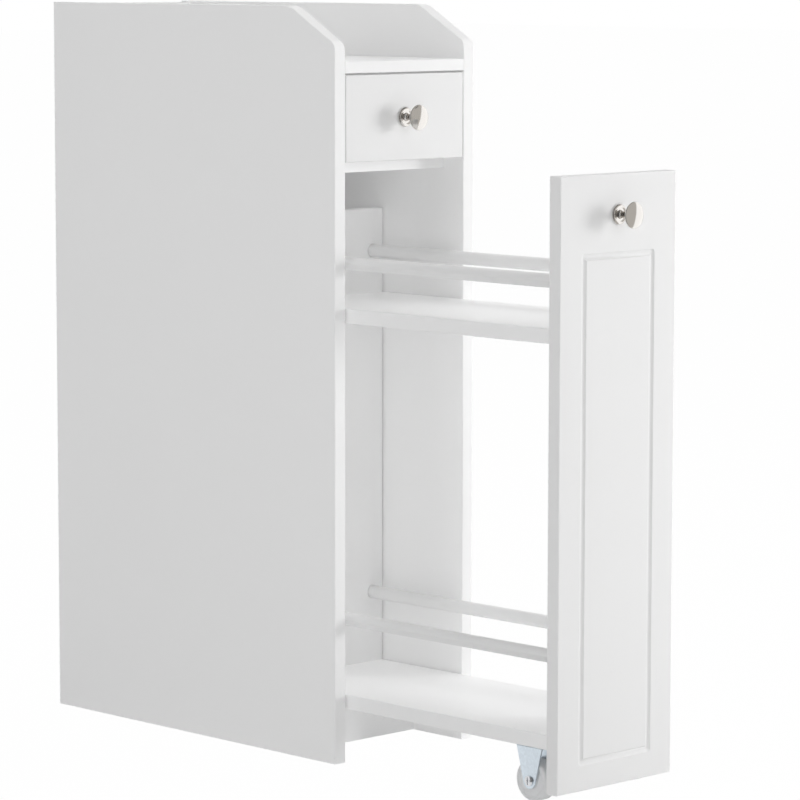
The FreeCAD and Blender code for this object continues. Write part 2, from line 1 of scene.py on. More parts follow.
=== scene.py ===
"""Narrow rolling cabinet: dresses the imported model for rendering.

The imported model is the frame. Boards keep its shapes, with their edges smoothed and the door's
routed line as a cove. Guard rails, knobs, casters and fastenings are finer pieces that stand
where the frame has them. Lengths are in metres, +Z is up, -Y is the front and +X is the
right-hand side seen from the front.
"""

import math

import bmesh
import bpy
from bpy.props import FloatProperty, FloatVectorProperty, PointerProperty
from mathutils import Matrix, Quaternion, Vector


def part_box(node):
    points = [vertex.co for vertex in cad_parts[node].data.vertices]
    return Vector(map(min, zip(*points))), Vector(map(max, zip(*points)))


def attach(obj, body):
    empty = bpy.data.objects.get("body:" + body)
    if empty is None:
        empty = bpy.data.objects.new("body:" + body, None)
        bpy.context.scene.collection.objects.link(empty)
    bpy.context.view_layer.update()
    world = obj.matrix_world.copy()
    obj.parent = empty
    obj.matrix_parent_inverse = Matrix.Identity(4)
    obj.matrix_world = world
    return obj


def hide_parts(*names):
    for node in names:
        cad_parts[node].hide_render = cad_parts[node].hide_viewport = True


bl_info = {
    "name": "Narrow Rolling Cabinet",
    "version": (1, 0, 0),
    "blender": (4, 5, 0),
    "location": "3D View > Sidebar > Cabinet",
    "description": "Dresses a slim cabinet with a pull-out trolley, its hardware and its finishes",
    "category": "Object",
}

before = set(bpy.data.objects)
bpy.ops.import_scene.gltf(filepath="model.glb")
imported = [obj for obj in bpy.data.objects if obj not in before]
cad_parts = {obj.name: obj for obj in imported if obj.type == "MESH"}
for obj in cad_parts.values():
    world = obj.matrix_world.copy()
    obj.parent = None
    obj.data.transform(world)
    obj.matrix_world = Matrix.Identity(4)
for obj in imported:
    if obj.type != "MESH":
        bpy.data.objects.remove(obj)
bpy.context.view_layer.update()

FRONT = Vector((0, -1, 0))
BACK = Vector((0, 1, 0))
RIGHT = Vector((1, 0, 0))
UP = Vector((0, 0, 1))

MERGE_DISTANCE = 0.000002  # between points of the frame that are one
JOIN_DISTANCE = 0.00001  # between points of neighbouring strips that are one
STEP = 0.00002  # shortest step of an outline
SLACK = 0.0001  # from a line, for a point that still lies on it
END_DEPTH = 0.0002  # of the end of a solid

# Angles between faces beyond which they stay apart, are a lip, have a crease or are rounded
FLAT_ANGLE = math.radians(0.4)
LIP_ANGLE = math.radians(20)
SMOOTH_ANGLE = math.radians(32)
EDGE_ANGLE = math.radians(40)

# The door's routed line: deeper than the first, not as deep as the second, and farther than
# the third from the door's own edges
FACE_DEPTH = 0.00005
LINE_DEPTH = 0.003
DOOR_MARGIN = 0.01
COVE_STEPS = 8

# Hardware: holes are given by their radius, and an outline by pairs of distance and radius
TURNED_SIDES = 96
KNOB_NECK = (
    (0.0, 0.0045), (0.0010, 0.0041), (0.0026, 0.0034), (0.0049, 0.0033), (0.0090, 0.0042),
    (0.0130, 0.0061), (0.0158, 0.0082), (0.0172, 0.0102),
)
CAP_HEIGHT = 0.0048
ROSETTE_HOLE = 0.0022
ROSETTE_DISH = 0.0007  # depth of the dished middle
WHEEL_BORE = 0.00306
WHEEL_HALF_RIM = 0.0090
CAM_EDGE = 0.00018
BORE_DEPTH = 0.1  # more than any fastening's length
THREAD_END = 0.0012  # plain tip after a thread
TURN_BETWEEN = 1.37  # from one screw's recess to the next one's, in radians

# Stage
FLOOR_HALF = 30.0
FLOOR_GREY = 0.85
LAMP_TARGET = Vector((0, -0.1, 0.62))
KNOBS_MIDDLE = Vector((0, -0.25, 0.65))
CAMERA_PLACE = Vector((-2.74534, -2.88422, 0.83259))
CAMERA_YAW = math.radians(44.14)
CAMERA_PITCH = math.radians(6.68)
CAMERA_ROLL = math.radians(0.08)

CASE_BOARDS = (
    "side_panel_left", "side_panel_right", "back_panel", "tray_board", "divider_board",
    "toe_board",
)
TROLLEY_BOARDS = ("trolley_rear_board", "middle_shelf", "bottom_shelf")
DRAWER_BOARDS = ("drawer_side_left", "drawer_side_right", "drawer_back", "drawer_bottom")
RAILS = ("middle_rail_left", "middle_rail_right", "bottom_rail_left", "bottom_rail_right")
CASTERS = ("front_left", "front_right", "rear_left", "rear_right")
JOINERY = (("carcass", "case", RIGHT), ("trolley", "trolley", BACK), ("drawer", "drawer", BACK))


def colour(label, description, default):
    return FloatVectorProperty(
        name=label, description=description, default=default, size=3, min=0, max=1,
        subtype="COLOR")


def number(label, description, default, **settings):
    return FloatProperty(name=label, description=description, default=default, **settings)


def length(label, description, default):
    return number(label, description, default, min=0, precision=5, unit="LENGTH")


def level(label, description, default):
    return number(label, description, default, min=0, max=20)


def angle(label, description, degrees, **settings):
    return number(label, description, math.radians(degrees), subtype="ANGLE", **settings)


class CabinetFinishes(bpy.types.PropertyGroup):
    """Colours of the cabinet's finishes."""

    board: colour("Board lacquer", "Satin white lacquer on the boards", (0.95, 0.95, 0.95))
    # The fronts' lacquer is the boards' satin white set darker, which paints in shade on the fronts
    # and the door's side
    front: colour("Front lacquer", "Satin white lacquer on the two fronts", (0.86, 0.86, 0.86))
    rail: colour("Rail enamel", "White enamel on the guard rails", (0.82, 0.82, 0.82))
    nickel: colour("Nickel", "Polished nickel of the knobs and rosettes", (0.80, 0.78, 0.75))
    bracket: colour("Bracket steel", "Galvanised steel of the caster brackets", (0.68, 0.75, 0.81))
    fastener: colour("Fastener zinc", "Bright zinc of screws, bolts and cams", (0.72, 0.73, 0.75))
    wheel: colour("Wheel plastic", "Moulded plastic of the caster wheels", (0.80, 0.805, 0.81))
    dowel: colour("Dowel beech", "Beech of the dowels", (0.74, 0.56, 0.36))


class CabinetSizes(bpy.types.PropertyGroup):
    """Sizes of the finer pieces that the frame doesn't give."""

    rail_wall: length("Rail wall", "Wall of the guard rail tubes", 0.0012)
    rail_flat: number(
        "Rail flat", "Reach of the flat along a rail, as a share of the tube's radius", 1.0,
        min=1, max=1.4)
    rail_end_round: length("Rail end round", "Rounding of the cut ends of the rails", 0.0004)
    line_slope: angle("Line slope", "Steepest angle of the cove routed into the door", 54)
    line_soften: length("Line softening", "Rounding that paint leaves on the routed line", 0.0003)
    cap_rim_round: length("Cap rim", "Rounding of the rim of a knob's cap", 0.0009)
    rosette_bead: length("Rosette bead", "Rounding of a rosette's raised ring", 0.0006)
    bracket_edge: length("Bracket edge", "Rounding of the pressed brackets' edges", 0.0004)
    wheel_tread_round: length("Tread round", "Rounding of a wheel's tread", 0.0030)
    recess_width: length("Recess width", "Width of a screw's cross recess", 0.0009)


class CabinetStage(bpy.types.PropertyGroup):
    """Lights, floor and camera."""

    ambient: level("Room light", "Light from above, less towards the horizon", 0.31)
    key: level("Soft box", "Light of the soft box at the right of the front", 0.485)
    key_turn: angle(
        "Soft box turn", "Angle of the soft box from the front towards the right", 56)
    key_rise: angle("Soft box rise", "Angle of the soft box above the knobs", 4)
    side: level("Side light", "Light of the wide lamp at the left", 0.11)
    right: level("Right light", "Light of the lamp high at the right", 0.30)
    left: level("Left fill", "Shadowless light from the left", 0.25)
    front: level("Front fill", "Shadowless light from the front", 0.23)
    top: level("Top fill", "Shadowless light from overhead", 0.18)
    card: level("Grey card", "Brightness of the card that the metal mirrors", 0.56)
    reflector: level("Reflector", "Brightness of the round reflector that the metal mirrors", 1.25)
    reflector_turn: angle(
        "Reflector turn", "Angle of the reflector from the front towards the right", 77.5)
    reflector_rise: angle("Reflector rise", "Angle of the reflector above the knobs", -11.8)
    reflector_reach: angle(
        "Reflector reach",
        "Angle between the reflector's middle and its edge, seen from the knobs", 45, min=0)
    lens: number("Lens", "Focal length of the camera, in millimetres", 171.355)
    floor_white: number(
        "Floor white", "Share of plain white in the floor that the camera sees", 0.99,
        min=0, max=1, subtype="FACTOR")


def spaced(start, end, count=24):
    """Evenly spaced values from the start to the end."""
    return [start + (end - start) * index / count for index in range(count + 1)]


def new_object(name, data):
    made = bpy.data.objects.new(name, data)
    bpy.context.scene.collection.objects.link(made)
    return made


def plain_mesh(name, bm):
    """A mesh with nothing but the points and faces of a bmesh, which is freed."""
    bm.verts.index_update()
    points = [vertex.co.copy() for vertex in bm.verts]
    faces = [[vertex.index for vertex in face.verts] for face in bm.faces]
    bm.free()
    mesh = bpy.data.meshes.new(name)
    mesh.from_pydata(points, [], faces)
    return mesh


def soften(mesh):
    """Smooth shading, with a crease where faces meet at a sharper angle."""
    mesh.shade_smooth()
    mesh.set_sharp_from_angle(angle=SMOOTH_ANGLE)


def joined(node):
    """A copy of a node's shape in the frame, with its loose triangles joined."""
    bm = bmesh.new()
    bm.from_mesh(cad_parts[node].data)
    bmesh.ops.remove_doubles(bm, verts=bm.verts, dist=MERGE_DISTANCE)
    return bm


def merged(node):
    """A copy of a node's shape in the frame, with each flat side as one face."""
    bm = joined(node)
    bmesh.ops.dissolve_limit(
        bm, angle_limit=FLAT_ANGLE, verts=bm.verts, edges=bm.edges, delimit={"NORMAL"})
    return bm


def middle(points):
    low = [min(point[axis] for point in points) for axis in range(3)]
    high = [max(point[axis] for point in points) for axis in range(3)]
    return (Vector(low) + Vector(high)) / 2


def islands(node):
    """The separate solids of a node, each as a list of its points."""
    bm = joined(node)
    groups = []
    left = set(bm.verts)
    while left:
        reached = [left.pop()]
        group = []
        while reached:
            vertex = reached.pop()
            group.append(vertex.co.copy())
            for edge in vertex.link_edges:
                other = edge.other_vert(vertex)
                if other in left:
                    left.remove(other)
                    reached.append(other)
        groups.append(group)
    bm.free()
    return sorted(groups, key=lambda group: tuple(round(value, 5) for value in middle(group)))


def extent(points, axis):
    """The lowest and the highest place of some points along an axis."""
    along = [point.dot(axis) for point in points]
    return min(along), max(along)


def reach_of(node, axis):
    low, high = extent(islands(node)[0], axis)
    return high - low


def finish_piece(piece, body, slot, nodes):
    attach(piece, body)
    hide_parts(*nodes)


def add_node(tree, kind, inputs=None, **settings):
    """Adds a node to a tree, links or sets its inputs, and gives its outputs."""
    node = tree.nodes.new(kind)
    for setting, value in settings.items():
        setattr(node, setting, value)
    for socket, sources in (inputs or {}).items():
        target = node.inputs[socket]
        for source in sources if isinstance(sources, list) else [sources]:
            if isinstance(source, bpy.types.NodeSocket):
                tree.links.new(source, target)
            else:
                target.default_value = source
    return node.outputs


def math_node(tree, operation, first, second, **settings):
    inputs = {0: first, 1: second}
    return add_node(tree, "ShaderNodeMath", inputs, operation=operation, **settings)[0]


# Materials


class Recipe:
    """A material in the making: its shader, and noise laid out on object coordinates."""

    def __init__(self, name, base, roughness, metallic=0.0):
        self.material = bpy.data.materials.new(name)
        self.material.use_nodes = True
        self.material.diffuse_color = (*base, 1)
        self.tree = self.material.node_tree
        self.base = base
        self.inputs = self.tree.nodes["Principled BSDF"].inputs
        self.inputs["Base Color"].default_value = (*base, 1)
        self.inputs["Roughness"].default_value = roughness
        self.inputs["Metallic"].default_value = metallic
        self.places = add_node(self.tree, "ShaderNodeTexCoord")["Object"]

    def stretched(self, scale):
        return add_node(
            self.tree, "ShaderNodeMapping", {"Vector": self.places, "Scale": scale})["Vector"]

    def noise(self, scale, detail=2.0, places=None, rough=0.5):
        return add_node(self.tree, "ShaderNodeTexNoise", {
            "Vector": places or self.places, "Scale": scale, "Detail": detail,
            "Roughness": rough})["Fac"]

    def cells(self, scale):
        return add_node(
            self.tree, "ShaderNodeTexVoronoi", {"Vector": self.places, "Scale": scale})["Color"]

    def spread(self, value, low, high, start=0.0, end=1.0):
        """A value between start and end turned into one between low and high."""
        return add_node(self.tree, "ShaderNodeMapRange", {
            "Value": value, "From Min": start, "From Max": end, "To Min": low,
            "To Max": high})["Result"]

    def tint(self, value, low, high):
        """The base colour, scaled from the low share to the high share with the value."""
        first, second = (
            (*(min(1.0, channel * share) for channel in self.base), 1) for share in (low, high))
        ramp = add_node(
            self.tree, "ShaderNodeMix", {"Factor": value, "A": first, "B": second},
            data_type="RGBA")
        self.tree.links.new(ramp["Result"], self.inputs["Base Color"])

    def rough(self, value, low, high):
        self.tree.links.new(self.spread(value, low, high), self.inputs["Roughness"])

    def bump(self, value, strength, distance):
        bump = add_node(self.tree, "ShaderNodeBump", {
            "Height": value, "Strength": strength, "Distance": distance})
        self.tree.links.new(bump["Normal"], self.inputs["Normal"])


def lacquer(name, base):
    """Satin lacquer: a faint orange peel and slow changes of gloss over smooth fibreboard."""
    recipe = Recipe(name, base, 0.42)
    recipe.tint(recipe.noise(7, 3), 0.992, 1.006)
    recipe.rough(recipe.noise(26, 3), 0.38, 0.47)
    recipe.bump(recipe.noise(1100, 1), 0.06, 0.00004)
    return recipe.material


def board_lacquer(finishes):
    return lacquer("board_lacquer", finishes.board)


# Painted shade: the boards' satin lacquer with the fronts' darker colour, so that the fronts and
# the door's side look more shaded
def shaded_front_lacquer(finishes):
    return lacquer("shaded_front_lacquer", finishes.front)


def rail_enamel(finishes):
    """Stoved enamel on the rails, smoother and a little glossier than the boards."""
    recipe = Recipe("rail_enamel", finishes.rail, 0.3)
    recipe.tint(recipe.noise(30, 2), 0.99, 1.0)
    recipe.rough(recipe.noise(60, 2), 0.26, 0.34)
    recipe.bump(recipe.noise(1500, 1), 0.05, 0.00003)
    return recipe.material


def polished_nickel(finishes):
    """Polished nickel with a trace of turning marks and handling haze."""
    recipe = Recipe("polished_nickel", finishes.nickel, 0.06, 1.0)
    recipe.tint(recipe.noise(90, 3), 0.97, 1.02)
    recipe.rough(recipe.noise(240, 4), 0.03, 0.10)
    return recipe.material


def bracket_steel(finishes):
    """Galvanised sheet: a soft spangle of zinc crystals with a satin sheen."""
    recipe = Recipe("bracket_steel", finishes.bracket, 0.34, 1.0)
    recipe.tint(recipe.cells(420), 0.93, 1.05)
    recipe.rough(recipe.noise(300, 3), 0.28, 0.42)
    recipe.bump(recipe.noise(700, 3), 0.12, 0.00004)
    return recipe.material


def fastener_zinc(finishes):
    """Bright zinc plating on screws, bolts and cams."""
    recipe = Recipe("fastener_zinc", finishes.fastener, 0.24, 1.0)
    recipe.tint(recipe.noise(500, 3), 0.9, 1.04)
    recipe.rough(recipe.noise(800, 3), 0.18, 0.32)
    return recipe.material


def wheel_plastic(finishes):
    """Moulded grey plastic with the fine grain of the mould and light scuffs."""
    recipe = Recipe("wheel_plastic", finishes.wheel, 0.5)
    recipe.tint(recipe.noise(140, 4), 0.97, 1.02)
    recipe.rough(recipe.noise(420, 3), 0.42, 0.58)
    recipe.bump(recipe.noise(1800, 2), 0.15, 0.00005)
    return recipe.material


def dowel_beech(finishes):
    """Beech with its short darker flecks along the grain."""
    recipe = Recipe("dowel_beech", finishes.dowel, 0.62)
    grain = recipe.noise(1, 5, recipe.stretched((240, 900, 900)), 0.65)
    recipe.tint(recipe.spread(grain, 0, 1, 0.35, 0.7), 1.12, 0.72)
    recipe.rough(grain, 0.55, 0.75)
    recipe.bump(grain, 0.3, 0.0001)
    return recipe.material


RECIPES = {
    "white_board": board_lacquer,
    "white_front": shaded_front_lacquer,
    "white_rail": rail_enamel,
    "polished_nickel": polished_nickel,
    "galvanised_steel": bracket_steel,
    "zinc_fastener": fastener_zinc,
    "grey_wheel": wheel_plastic,
    "dowel_wood": dowel_beech,
}


def finish_material(slot):
    """The material of a finish, made once from the scene's colours."""
    found = bpy.data.materials.get(RECIPES[slot].__name__)
    return found or RECIPES[slot](bpy.context.scene.cabinet_finishes)


# Turned and bevelled shapes


def curve_through(points, steps):
    """Points of a smooth line that passes through the given pairs."""
    ends = [points[0], *points, points[-1]]
    line = []
    for index in range(len(points) - 1):
        a, b, c, d = (Vector(pair) for pair in ends[index:index + 4])
        for step in range(steps):
            t = step / steps
            line.append(
                (2 * b + (c - a) * t + (2 * a - 5 * b + 4 * c - d) * t ** 2
                 + (3 * b - a - 3 * c + d) * t ** 3) / 2)
    line.append(Vector(points[-1]))
    return [tuple(point) for point in line]


def arc(centre, radius, start, end, steps):
    """Points of an arc between two angles, in degrees."""
    return [
        (centre[0] + radius * math.cos(turn), centre[1] + radius * math.sin(turn))
        for turn in (math.radians(degrees) for degrees in spaced(start, end, steps))
    ]


def turned(outline, centre, direction):
    """A closed outline of (distance, radius) pairs, turned about a line through the centre."""
    facing = direction.to_track_quat("Z", "Y")
    bm = bmesh.new()
    rings = []
    for distance, radius in outline:
        sides = 1 if radius < STEP / 10 else TURNED_SIDES
        ring = []
        for side in range(sides):
            turn = 2 * math.pi * side / sides
            reach = radius if sides > 1 else 0
            offset = Vector((reach * math.cos(turn), reach * math.sin(turn), distance))
            ring.append(bm.verts.new(centre + facing @ offset))
        rings.append(ring)
    for first, second in zip(rings, rings[1:] + rings[:1]):
        for side in range(TURNED_SIDES):
            corners = dict.fromkeys(
                ring[place % len(ring)] for ring, place in (
                    (first, side), (second, side), (second, side + 1), (first, side + 1)))
            if len(corners) > 2:
                bm.faces.new(list(corners))
    bmesh.ops.recalc_face_normals(bm, faces=bm.faces)
    return bm


def join_rows(bm, first, second):
    for step in range(len(first) - 1):
        bm.faces.new((first[step], first[step + 1], second[step + 1], second[step]))


def dress(node, ending, body, slot, bm, even=True, edge=0.0, segments=3):
    """The piece that stands for a node, from a bmesh, with its edges rounded if that is asked."""
    mesh = plain_mesh(node + ending, bm)
    soften(mesh)
    mesh.materials.append(finish_material(slot))
    piece = new_object(node + ending, mesh)
    if edge:
        bevel = piece.modifiers.new("rounded edges", "BEVEL")
        bevel.width = edge
        bevel.segments = segments
        bevel.limit_method = "ANGLE"
        bevel.angle_limit = EDGE_ANGLE
    if even:
        normals = piece.modifiers.new("even shading", "WEIGHTED_NORMAL")
        normals.keep_sharp = True
        normals.weight = 80
    finish_piece(piece, body, slot, [node])


def board(node, body, slot="white_board"):
    """A board of the frame with its loose triangles joined and its rounded edges smooth."""
    dress(node, "_lacquered", body, slot, merged(node))


def off_edges(point, low, high):
    """Whether a point of the door is away from the door's own edges."""
    return (
        low.x + DOOR_MARGIN < point.x < high.x - DOOR_MARGIN
        and low.z + DOOR_MARGIN < point.z < high.z - DOOR_MARGIN)


def cove(bm, low, high):
    """Makes the routed line of the door a shallow cove of the same width."""
    face = low.y + FACE_DEPTH
    cut = [
        part for part in bm.faces
        if any(
            face < vertex.co.y < low.y + LINE_DEPTH and off_edges(vertex.co, low, high)
            for vertex in part.verts)
    ]
    rim = [vertex.co for part in cut for vertex in part.verts if vertex.co.y < face]
    half_width = (
        max(point.x for point in rim) - min(point.x for point in rim if point.x > 0)) / 2
    right = max(point.x for point in rim) - half_width
    top = max(point.z for point in rim) - half_width
    bottom = min(point.z for point in rim) + half_width
    bmesh.ops.delete(bm, geom=cut, context="FACES")

    def centre_near(point):
        """The point of the line's centre that is nearest to a point of its rim."""
        reach = half_width + SLACK
        place = point.copy()
        if abs(abs(point.x) - right) < reach:
            place.x = math.copysign(right, point.x)
        if abs(point.z - top) < reach:
            place.z = top
        if abs(point.z - bottom) < reach:
            place.z = bottom
        return place

    slope = bpy.context.scene.cabinet_sizes.line_slope
    radius = half_width / math.sin(slope)
    for edge in [edge for edge in bm.edges if len(edge.link_faces) == 1]:
        ends = [vertex.co for vertex in edge.verts]
        if max(end.y for end in ends) > face:
            continue
        rows = []
        for end in ends:
            centre = centre_near(end)
            row = []
            for share in spaced(0, 1, COVE_STEPS):
                place = centre.lerp(end, share)
                away = half_width * share
                place.y = low.y + math.sqrt(radius ** 2 - away ** 2) - radius * math.cos(slope)
                row.append(bm.verts.new(place))
            rows.append(row)
        join_rows(bm, *rows)
    bmesh.ops.remove_doubles(bm, verts=bm.verts, dist=JOIN_DISTANCE)
    bmesh.ops.recalc_face_normals(bm, faces=bm.faces)


def door_board(node, body):
    """The door, with the routed line's edges rounded as paint leaves them."""
    low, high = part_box(node)
    bm = merged(node)
    cove(bm, low, high)
    lips = [
        edge for edge in bm.edges
        if len(edge.link_faces) == 2 and edge.calc_face_angle() > LIP_ANGLE and all(
            vertex.co.y < low.y + FACE_DEPTH and off_edges(vertex.co, low, high)
            for vertex in edge.verts)
    ]
    bmesh.ops.bevel(
        bm, geom=lips, offset=bpy.context.scene.cabinet_sizes.line_soften,
        offset_type="OFFSET", segments=3, profile=0.5, affect="EDGES", clamp_overlap=True)
    dress(node, "_lacquered", body, "white_front", bm)


# Geometry nodes


class Tree:
    """A geometry node tree in the making, with named inputs."""

    def __init__(self, name, inputs):
        self.group = bpy.data.node_groups.new(name, "GeometryNodeTree")
        self.group.is_modifier = True
        sockets = self.group.interface
        for label, kind in inputs.items():
            sockets.new_socket(name=label, in_out="INPUT", socket_type="NodeSocket" + kind)
        sockets.new_socket(name="Geometry", in_out="OUTPUT", socket_type="NodeSocketGeometry")
        self.given = self.group.nodes.new("NodeGroupInput").outputs

    def add(self, kind, inputs=None, **settings):
        return add_node(self.group, kind, inputs, **settings)

    def maths(self, operation, first, second):
        return math_node(self.group, operation, first, second)

    def close(self, geometry):
        """Ends the tree with real geometry in the given material."""
        real = self.add("GeometryNodeRealizeInstances", {"Geometry": geometry})
        dressed = self.add("GeometryNodeSetMaterial", {
            "Geometry": real["Geometry"], "Material": self.given["Material"]})
        self.add("NodeGroupOutput", {"Geometry": dressed["Geometry"]})
        return self.group


def shaped(name, mesh, tree, values):
    """An object with the plain mesh that a tree makes of a mesh with these input values."""
    piece = new_object(name, mesh)
    modifier = piece.modifiers.new(tree.name, "NODES")
    modifier.node_group = tree
    for item in tree.interface.items_tree:
        if item.item_type == "SOCKET" and item.in_out == "INPUT" and item.name in values:
            modifier[item.identifier] = values[item.name]
    evaluated = piece.evaluated_get(bpy.context.evaluated_depsgraph_get())
    result = bpy.data.meshes.new_from_object(evaluated)
    result.name = name
    piece.modifiers.clear()
    piece.data = result
    soften(result)
    return piece


def rail_tree():
    """A tube with rounded ends and a flat along its outer lower side."""
    tree = Tree("guard_rail", {
        "Middle": "Vector", "Length": "Float", "Diameter": "Float", "Wall": "Float",
        "End Round": "Float", "Sides": "Int", "Outer Side": "Float", "Flat Reach": "Float",
        "Material": "Material",
    })
    given, add, maths = tree.given, tree.add, tree.maths
    radius = maths("DIVIDE", maths("SUBTRACT", given["Diameter"], given["Wall"]), 2.0)
    circle = add(
        "GeometryNodeCurvePrimitiveCircle", {"Resolution": given["Sides"], "Radius": radius},
        mode="RADIUS")
    place = add("GeometryNodeInputPosition")[0]
    parts = add("ShaderNodeSeparateXYZ", {0: place})
    outward = maths("MULTIPLY", parts["X"], given["Outer Side"])
    limit = maths("MULTIPLY", radius, given["Flat Reach"])
    reached = maths("MAXIMUM", maths("SUBTRACT", outward, parts["Y"]), limit)
    pulled_in = add(
        "ShaderNodeVectorMath", {"Vector": place, "Scale": maths("DIVIDE", limit, reached)},
        operation="SCALE")
    flattened = add("GeometryNodeSetPosition", {
        "Geometry": circle["Curve"], "Position": pulled_in["Vector"]})
    strip = add(
        "GeometryNodeCurvePrimitiveQuadrilateral",
        {"Width": given["Wall"], "Height": given["Length"]}, mode="RECTANGLE")
    rounded_strip = add(
        "GeometryNodeFilletCurve",
        {"Curve": strip["Curve"], "Radius": given["End Round"], "Count": 2}, mode="POLY")
    tube = add("GeometryNodeCurveToMesh", {
        "Curve": flattened["Geometry"], "Profile Curve": rounded_strip["Curve"]})
    turned_tube = add("GeometryNodeTransform", {
        "Geometry": tube["Mesh"], "Translation": given["Middle"],
        "Rotation": (math.pi / 2, 0, 0)})
    return tree.close(turned_tube["Geometry"])


def make_rail(node, tree):
    low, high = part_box(node)
    sizes = bpy.context.scene.cabinet_sizes
    name = node + "_tube"
    piece = shaped(name, bpy.data.meshes.new(name), tree, {
        "Middle": (low + high) / 2,
        "Length": high.y - low.y,
        "Diameter": high.x - low.x,
        "Wall": sizes.rail_wall,
        "End Round": sizes.rail_end_round,
        "Sides": TURNED_SIDES,
        "Outer Side": math.copysign(1.0, (low + high).x),
        "Flat Reach": sizes.rail_flat,
        "Material": finish_material("white_rail"),
    })
    finish_piece(piece, "trolley", "white_rail", [node])


def fastening_tree():
    """Instances of one turned fastening, with its recess and bore, at each place."""
    tree = Tree("fastening", {
        "Places": "Geometry", "Outline": "Object", "Points": "Int", "Valley": "Float",
        "Recess Width": "Float", "Recess Length": "Float", "Cross Length": "Float",
        "Recess Depth": "Float", "Bore": "Float", "Has Recess": "Bool", "Has Bore": "Bool",
        "Material": "Material",
    })
    given, add, maths = tree.given, tree.add, tree.maths

    def cut(solid, tools, wish):
        """The solid less the tools, where the fastening has such a cut."""
        less = add(
            "GeometryNodeMeshBoolean", {"Mesh 1": solid, "Mesh 2": tools},
            operation="DIFFERENCE")
        chosen = add(
            "GeometryNodeSwitch", {"Switch": given[wish], "False": solid, "True": less["Mesh"]},
            input_type="GEOMETRY")
        return chosen["Output"]

    outline = add("GeometryNodeObjectInfo", {"Object": given["Outline"]})
    section = add("GeometryNodeCurveStar", {
        "Points": given["Points"], "Inner Radius": given["Valley"], "Outer Radius": 1.0})
    solid = add("GeometryNodeCurveToMesh", {
        "Curve": outline["Geometry"],
        "Profile Curve": section["Curve"],
        "Scale": add("GeometryNodeInputRadius")["Radius"],
        "Fill Caps": True,
    })
    deep = maths("MULTIPLY", given["Recess Depth"], 2.0)
    bars = []
    for x, y in (("Recess Length", "Recess Width"), ("Recess Width", "Cross Length")):
        size = add("ShaderNodeCombineXYZ", {"X": given[x], "Y": given[y], "Z": deep})
        bars.append(add("GeometryNodeMeshCube", {"Size": size[0]})["Mesh"])
    recessed = cut(solid["Mesh"], bars, "Has Recess")
    bore = add("GeometryNodeMeshCylinder", {
        "Vertices": 48, "Radius": maths("DIVIDE", given["Bore"], 2.0), "Depth": BORE_DEPTH})
    bored = cut(recessed, [bore["Mesh"]], "Has Bore")
    direction = add(
        "GeometryNodeInputNamedAttribute", {"Name": "direction"}, data_type="FLOAT_VECTOR")
    turn = add("GeometryNodeInputNamedAttribute", {"Name": "turn"}, data_type="FLOAT")
    about_axis = add("FunctionNodeAxisAngleToRotation", {
        "Axis": (0, 0, 1), "Angle": turn["Attribute"]})
    facing = add("FunctionNodeAlignRotationToVector", {
        "Rotation": about_axis["Rotation"], "Vector": direction["Attribute"]}, axis="Z")
    placed = add("GeometryNodeInstanceOnPoints", {
        "Points": given["Places"], "Instance": bored, "Rotation": facing["Rotation"]})
    return tree.close(placed["Instances"])


def outline_curve(name, outline):
    """A straight line whose radius at each depth is a turned piece's radius there."""
    curve = bpy.data.curves.new(name, "CURVE")
    curve.dimensions = "3D"
    spline = curve.splines.new("POLY")
    spline.points.add(len(outline) - 1)
    for point, (depth, radius) in zip(spline.points, outline):
        point.co = (0, 0, -depth, 1)
        point.radius = radius
    return new_object(name, curve)


def places_of(node, axis):
    """Where a node's fastenings have their outer ends, and the way that each one faces."""
    places = []
    for points in islands(node):
        centre = middle(points)
        ends = extent(points, axis)
        widths = []
        for end in ends:
            near = [point - centre for point in points if abs(point.dot(axis) - end) < END_DEPTH]
            widths.append(max((offset - axis * offset.dot(axis)).length for offset in near))
        outward = axis if widths[1] > widths[0] else axis * -1
        places.append((centre + outward * (ends[1] - ends[0]) / 2, outward))
    return places


def fastenings(node, body, slot, outline, axis, inputs):
    """One piece for a node's like fastenings, made by the fastening tree at their places."""
    tree = bpy.data.node_groups.get("fastening") or fastening_tree()
    line = outline_curve(node + "_outline", outline)
    name = node + "_turned"
    places = places_of(node, axis)
    mesh = bpy.data.meshes.new(name)
    mesh.from_pydata([place for place, outward in places], [], [])
    mesh.attributes.new("direction", "FLOAT_VECTOR", "POINT")
    mesh.attributes.new("turn", "FLOAT", "POINT")
    for index, (place, outward) in enumerate(places):
        mesh.attributes["direction"].data[index].vector = outward
        mesh.attributes["turn"].data[index].value = (index * TURN_BETWEEN) % math.pi
    piece = shaped(name, mesh, tree, {
        "Outline": line,
        "Points": 16,
        "Valley": 1.0,
        "Recess Width": bpy.context.scene.cabinet_sizes.recess_width,
        "Material": finish_material(slot),
        **inputs,
    })
    data = line.data
    bpy.data.objects.remove(line)
    bpy.data.curves.remove(data)
    finish_piece(piece, body, slot, [node])


def screw_outline(head, height, shank, reach, sunk):
    """A screw from the top of its head to its tip: domed or sunk head, thread and point."""
    pitch = shank * 0.35
    root = shank * 0.38
    crest = shank * 0.5
    if sunk:
        line = [(0, head * 0.46), (height * 0.1, head * 0.5), (height, crest)]
    else:
        dome = ((0, 0.22), (0.08, 0.34), (0.28, 0.44), (0.6, 0.49), (0.85, 0.5), (1, 0.5))
        line = [(height * down, head * out) for down, out in dome]
        line.append((height + STEP, crest))
    depth = max(height + STEP, line[-1][0]) + pitch
    line.append((depth, crest))
    while depth < reach - shank * 0.8 - pitch:
        line += [(depth + pitch * 0.3, root), (depth + pitch * 0.7, root), (depth + pitch, crest)]
        depth += pitch
    return line + [(reach - crest, root), (reach, shank * 0.05)]


def thread(start, end, root, crest, pitch):
    """The pairs of a thread between two depths, of a root and a crest radius and a pitch."""
    line = []
    depth = start
    while depth < end:
        line += [(depth, root), (depth + pitch / 2, crest)]
        depth += pitch
    return line


# Operators


